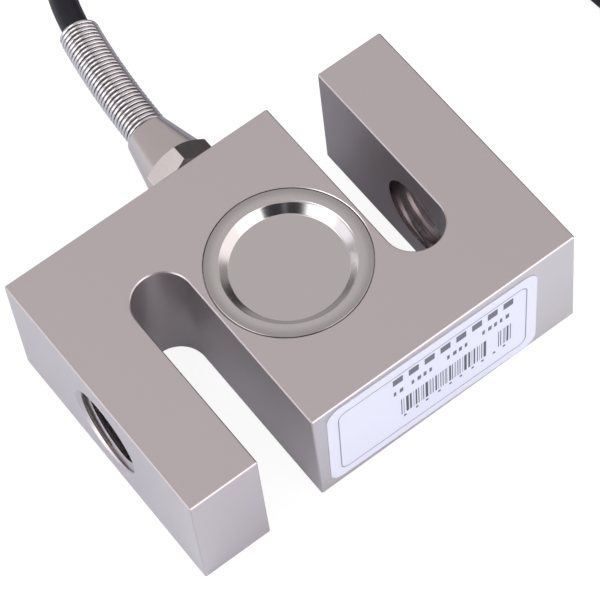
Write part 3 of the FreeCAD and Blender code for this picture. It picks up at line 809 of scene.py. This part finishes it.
wide = nut_corner_radius + spare
chamfer_slope = math.tan(math.radians(30))
shoulder_slope = 1.73
corner_end_y = nut_start_y + 3.4
envelope = turned_mesh(
    [
        (4.45, nut_start_y),
        (nut_flat_radius - 0.05, nut_start_y),
        (wide, nut_start_y + (wide - nut_flat_radius) * chamfer_slope),
        (wide, corner_end_y - (wide - nut_corner_radius) / shoulder_slope),
        (nut_flat_radius, corner_end_y + (nut_corner_radius - nut_flat_radius) / shoulder_slope),
        (4.12, nut_end_y - 0.3),
        (4.0, nut_end_y - 0.08),
        (3.95, nut_end_y),
        (3.9, nut_end_y),
        (3.9, 38.5),
        (4.45, 37.95),
    ]
)
nut_mesh = combined(hexagon_mesh, envelope, "INTERSECT")
shade(nut_mesh, 11)
nut = show("nut", nut_mesh, nut_finish, ["gland_nut"])

# %% The collar with its hidden shank, and the washer
collar_mesh = turned_mesh(
    [
        (2.6, 17.4),
        (4.35, 17.4),
        (4.45, 17.5),
        (4.45, 27.0),
        (5.7, 27.0),
        (5.8, 27.1),
        (5.8, 28.9),
        (5.7, 29.0),
        (4.45, 29.0),
        (4.45, 33.0),
        (3.7, 33.0),
        (2.6, 31.4),
    ]
)
shade(collar_mesh, 25)
collar = show("gland_bush", collar_mesh, nut_finish, ["gland_body"])
washer_mesh = turned_mesh(
    [(4.5, 25.4), (5.7, 25.4), (5.8, 25.55), (5.8, 26.85), (5.7, 27.0), (4.5, 27.0)]
)
shade(washer_mesh, 50)
washer = show("washer", washer_mesh, nylon_finish, ["gland_washer"])

# %% [markdown]
# ## The strain relief spring
# A close-wound spring keeps the cable from bending sharply at the nut. It follows the cable, so its wire
# is worked out about the cable's own middle line: at each small step along the line, a point goes a
# little further round. A curve through these points with a round bevel gives the wire. Its side that
# lies deep between two turns is marked, and the finish paints shade there, as dark lines between turns.

# %% A round wire along a line
def tube_mesh(name, points, radius, kind):
    """A POLY or NURBS line through these points in metres, made round by a radius in millimetres."""
    curve = bpy.data.curves.new(name, "CURVE")
    curve.dimensions = "3D"
    curve.resolution_u = 12
    line = curve.splines.new(kind)
    line.points.add(len(points) - 1)
    for point, place in zip(line.points, points):
        point.co = (*place, 1.0)
    if kind == "NURBS":
        line.order_u = min(3, len(points))
        line.use_endpoint_u = True
    curve.bevel_depth = radius * MM
    curve.bevel_resolution = 3
    curve.use_fill_caps = True
    holder = bpy.data.objects.new(name, curve)
    bpy.context.scene.collection.objects.link(holder)
    mesh = bpy.data.meshes.new_from_object(holder)
    bpy.data.objects.remove(holder)
    return mesh


# %% Walking along the cable
def place_on_cable(distance):
    """The point and the heading at this distance in metres along the cable."""
    left = distance
    for a, b in zip(cable_middle, cable_middle[1:]):
        gap = (b - a).length
        if left <= gap:
            return a.lerp(b, left / gap), (b - a).normalized()
        left -= gap
    return cable_middle[-1], (cable_middle[-1] - cable_middle[-2]).normalized()


# %% The wire's middle line
wire_radius = 0.39
spring_pitch = 0.82
spring_turns = 35.5
steps_per_turn = 24
spring_start_y = 36.79
spring_start = spring_start_y - cable_route[0][1]
spring_radius, taper = 3.41, 0.15
first_turn_extra, first_turn_end, first_turn_blend = 0.45, 1.2, 0.7
wire_points = []
wire_middles = []
for k in range(int(spring_turns * steps_per_turn) + 1):
    turns = k / steps_per_turn
    share = turns / spring_turns
    middle, heading = place_on_cable((spring_start + turns * spring_pitch) * MM)
    side = Vector((heading.y, -heading.x, 0)).normalized()
    above = side.cross(heading)
    wider = eased((first_turn_end - turns) / first_turn_blend)
    radius = spring_radius - taper * share + first_turn_extra * wider
    around = turns * 2 * math.pi
    wire_middles.append((middle, radius * MM))
    wire_points.append(middle + (side * math.cos(around) + above * math.sin(around)) * radius * MM)
print("points in the wire:", len(wire_points))

# %% The spring, each point marked with how far out on the wire it is
spring_mesh = tube_mesh("spring_wire", wire_points, wire_radius, "POLY")
shade(spring_mesh, 60)
sides = len(spring_mesh.vertices) // len(wire_points)
# How far out each point lies on the wire tells the finish where to paint shade between the turns.
tone = spring_mesh.attributes.new("tone", "FLOAT", "POINT")
for vertex in spring_mesh.vertices:
    middle, radius = wire_middles[min(vertex.index // sides, len(wire_middles) - 1)]
    tone.data[vertex.index].value = ((vertex.co - middle).length - radius) / (wire_radius * MM)
print("wire sides:", sides, "vertices left over:", len(spring_mesh.vertices) - sides * len(wire_points))
spring = show("spring", spring_mesh, wire_finish, ["strain_spring"])

# %% [markdown]
# ## The label
# A film label sits on the narrow face. Its print would be wording, which has no place here, so plain
# bars stand where the print is, inside the thin rounded line that frames it. A pattern in the material
# could draw them, but small flat boxes keep sharp edges at any distance.

# %% The label's own directions
label_centre = Vector((8.9, -25.4, 12.5))
label_tilt = Matrix.Rotation(math.radians(1.6), 3, "Y")
line_y = -0.165
ink_y, ink_thickness = -0.16, 0.02


def on_label(shape):
    """Turns and moves a shape drawn flat in the XZ plane onto the label."""
    bmesh.ops.rotate(shape, verts=shape.verts, cent=(0, 0, 0), matrix=label_tilt)
    bmesh.ops.translate(shape, verts=shape.verts, vec=label_centre * MM)


def add_bar(shape, left, right, low, high):
    """One thin printed bar, in millimetres from the label's middle."""
    verts = bmesh.ops.create_cube(shape, size=1.0)["verts"]
    size = ((right - left) * MM, ink_thickness * MM, (high - low) * MM)
    bmesh.ops.scale(shape, verts=verts, vec=size)
    centre = ((left + right) / 2 * MM, ink_y * MM, (low + high) / 2 * MM)
    bmesh.ops.translate(shape, verts=verts, vec=centre)


# %% The frame line
line_corners = [(-19.1, -9.3), (19.1, -9.3), (19.1, 9.0), (-19.1, 9.0)]
line_rounding, line_width = 1.6, 0.2
border = bmesh.new()
border.faces.new([border.verts.new((x * MM, line_y * MM, z * MM)) for x, z in line_corners])
bmesh.ops.bevel(
    border,
    geom=border.verts[:],
    affect="VERTICES",
    offset=line_rounding * MM,
    segments=8,
    profile=0.5,
    material=-1,
)
inner = bmesh.ops.inset_region(
    border, faces=border.faces[:], thickness=line_width * MM, use_even_offset=True, use_boundary=True
)
bmesh.ops.delete(border, geom=[f for f in border.faces if f not in inner["faces"]], context="FACES")
on_label(border)
show("label_line", mesh_from(border, "label_line"), line_finish)

# %% The heading's fields and the smaller ones below it
field_count, field_left, field_step, field_width = 8, -8.2, 3.2, 2.0
small_count, small_left, small_step = 20, -8.1, 1.2
small_widths = (0.5, 0.7, 0.6)
small_blanks = (2, 7, 8, 13, 14)
print_shape = bmesh.new()
for k in range(field_count):
    left = field_left + k * field_step
    add_bar(print_shape, left, left + field_width, 6.3, 8.1)
for k in range(small_count):
    if k not in small_blanks:
        left = small_left + k * small_step
        add_bar(print_shape, left, left + small_widths[k % 3], 2.9, 4.1)
on_label(print_shape)
show("label_fields", mesh_from(print_shape, "label_fields"), field_finish)

# %% The row of bars, every third one paler, with small marks under it
bar_count = 40
bar_widths = (0.16, 0.16, 0.5, 0.36, 0.16, 0.3, 0.16)
bar_gaps = (0.28, 0.4, 0.24, 0.34, 0.3)
blank_from, blank_to = 10.8, 12.8
mark_width = 0.5
bar_shape = bmesh.new()
pale_shape = bmesh.new()
bar_left = -6.7
for k in range(bar_count):
    width = bar_widths[k % 7]
    if not blank_from < bar_left < blank_to:
        add_bar(pale_shape if k % 3 == 1 else bar_shape, bar_left, bar_left + width, -4.7, 0.3)
    if k % 4 == 1:
        add_bar(bar_shape, bar_left, bar_left + mark_width, -5.9, -5.4)
    bar_left += width + bar_gaps[k % 5]
print("bars end at", round(bar_left, 1))
on_label(bar_shape)
show("label_bars", mesh_from(bar_shape, "label_bars"), ink_finish)
on_label(pale_shape)
show("label_pale_bars", mesh_from(pale_shape, "label_pale_bars"), pale_ink_finish)

# %% [markdown]
# ## The cable's end
# The put-away end of the cable is stripped: a shrunk sleeve, five thin cores and their tinned tips. The
# frame's cores have few steps, so they are drawn again as thin curves that fan out on top of the coil.
# The sleeve and the ties are plain enough to keep the frame's shapes.

# %% Where each core runs, in millimetres
core_colors = ("red", "black", "drain", "green", "white")
core_radius, drain_radius = 0.425, 0.25
core_gap, fan_gap = 0.95, 2.4
sleeve_reach, past_sleeve, past_step = 6.0, 2.0, 0.4
fan_start, fan_step = 20.0, 34.0 / 3
sideways = Vector((tail_heading.y, -tail_heading.x, 0))


def core_route(place):
    """The core at this place, from -2 to 2: at the jacket, past the sleeve, and twice in the fan."""
    start = jacket_end + sideways * place * core_gap
    leaving = start + tail_heading * (sleeve_reach + past_sleeve + place * core_gap * past_step)
    route = [start, leaving]
    fan_angle = end_angle + math.degrees(fan_start / tail_radius)
    for k in (1, 2):
        angle = fan_angle + math.degrees(k * fan_step / tail_radius)
        route.append(Vector(around_coil(tail_radius + place * fan_gap, angle, coil_top + core_radius)))
    return route


def core_mesh(points, radius, name):
    """A smooth round line through these points in millimetres, as a mesh."""
    mesh = tube_mesh(name, [point * MM for point in points], radius, "NURBS")
    smooth(mesh)
    return mesh


# %% Five cores and four tips
tip_radius, tip_length, tip_overlap = 0.3, 5.0, 0.5
tips = bmesh.new()
for place, core_color in enumerate(core_colors, start=-2):
    route = core_route(place)
    name = "core_" + core_color
    mesh = core_mesh(route, drain_radius if core_color == "drain" else core_radius, name)
    show(name, mesh, core_finishes[core_color], ["lead_" + core_color])
    if core_color != "drain":
        onward = (route[-1] - route[-2]).normalized()
        tip_points = [route[-1] - onward * tip_overlap, route[-1] + onward * tip_length]
        tip = core_mesh(tip_points, tip_radius, "tip")
        tips.from_mesh(tip)
        bpy.data.meshes.remove(tip)
tips_mesh = mesh_from(tips, "tips")
smooth(tips_mesh)
tips_piece = show("tips", tips_mesh, solder_finish, ["tinned_tips"])

# %% The sleeve and the ties, the frame's own shapes with softer shading
sleeve_mesh = mesh_from(merged_shape("lead_sleeve"), "sleeve")
shade(sleeve_mesh, 35)
sleeve = show("sleeve", sleeve_mesh, sleeve_finish, ["lead_sleeve"])
ties_mesh = mesh_from(merged_shape("cable_ties"), "ties")
shade(ties_mesh, 35)
ties = show("ties", ties_mesh, tie_finish, ["cable_ties"])

# %% Finishes of the nodes that stay as they are
plain_nodes = {
    "label_plate": label_finish,
    "gland_grommet": rubber_finish,
    "clamp_ring": nut_finish,
    "top_gauge_backing": gauge_film_finish,
    "bottom_gauge_backing": gauge_film_finish,
    "top_gauge_grids": foil_finish,
    "bottom_gauge_grids": foil_finish,
    "bridge_board": board_finish,
    "trim_resistors": resistor_finish,
    "solder_joints": solder_finish,
    "top_gauge_leads": copper_finish,
    "bottom_gauge_leads": copper_finish,
}
for core_color in core_colors:
    plain_nodes["inner_core_" + core_color] = core_finishes[core_color]
for name, material in plain_nodes.items():
    nodes[name].data.materials.clear()
    nodes[name].data.materials.append(material)
print("nodes with a finish:", len(plain_nodes))

# %% [markdown]
# ## The cable in place
# Last, the cable gets its jacket finish and joins the load cell, in place of the frame's jacket, coil
# and tail.

cable_curve.materials.append(jacket_finish)
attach(cable, "root")
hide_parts("cable_jacket", "cable_coil", "cable_tail")
